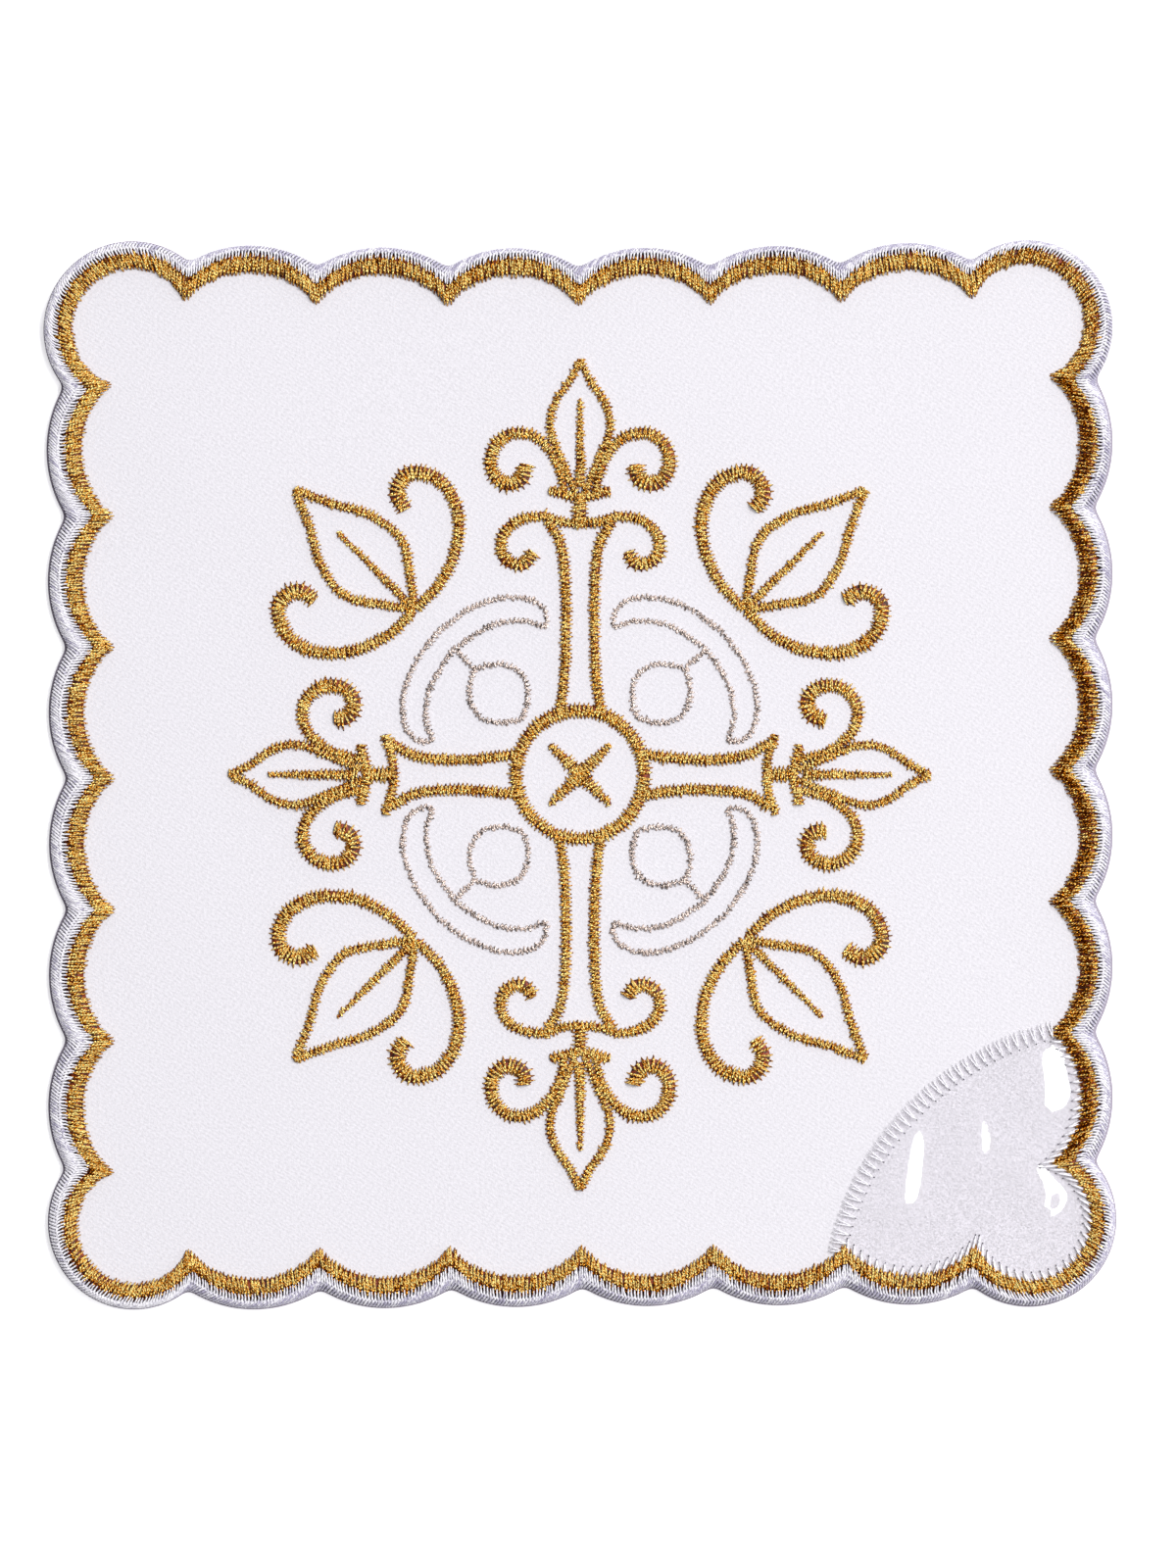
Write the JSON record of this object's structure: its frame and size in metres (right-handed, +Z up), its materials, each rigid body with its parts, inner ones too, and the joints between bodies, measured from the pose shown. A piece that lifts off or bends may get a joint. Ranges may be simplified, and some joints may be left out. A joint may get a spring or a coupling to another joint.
{
  "type": "chalice pall",
  "caption": "Stiff square white cloth with a scalloped gold and white satin edge, a gold and silver cross motif and a clear film corner, laid over a chalice.",
  "frame": {"origin": "under the middle of the pall, on the surface that it lies on", "axes": "+Z up through the cloth, +Y to the pall's upper edge, +X to the right; the clear corner is at +X -Y"},
  "size_m": [0.1502, 0.1498, 0.0036],
  "materials": {
    "cloth": "fine matt twill",
    "white_thread": "satin stitch",
    "gold_thread": "metallic satin stitch",
    "silver_thread": "metallic satin stitch",
    "clear_film": "clear gloss"
  },
  "bodies": {
    "root": {"back_cloth": "cloth", "front_cloth": "cloth", "white_edge": "white_thread", "clear_corner": "clear_film", "gold_border": "gold_thread", "cross": "gold_thread", "star": "gold_thread", "sprig_upper_right": "gold_thread", "sprig_upper_left": "gold_thread", "sprig_lower_left": "gold_thread", "sprig_lower_right": "gold_thread", "crescent_upper_right": "silver_thread", "crescent_upper_left": "silver_thread", "crescent_lower_left": "silver_thread", "crescent_lower_right": "silver_thread"}
  },
  "joints": []
}
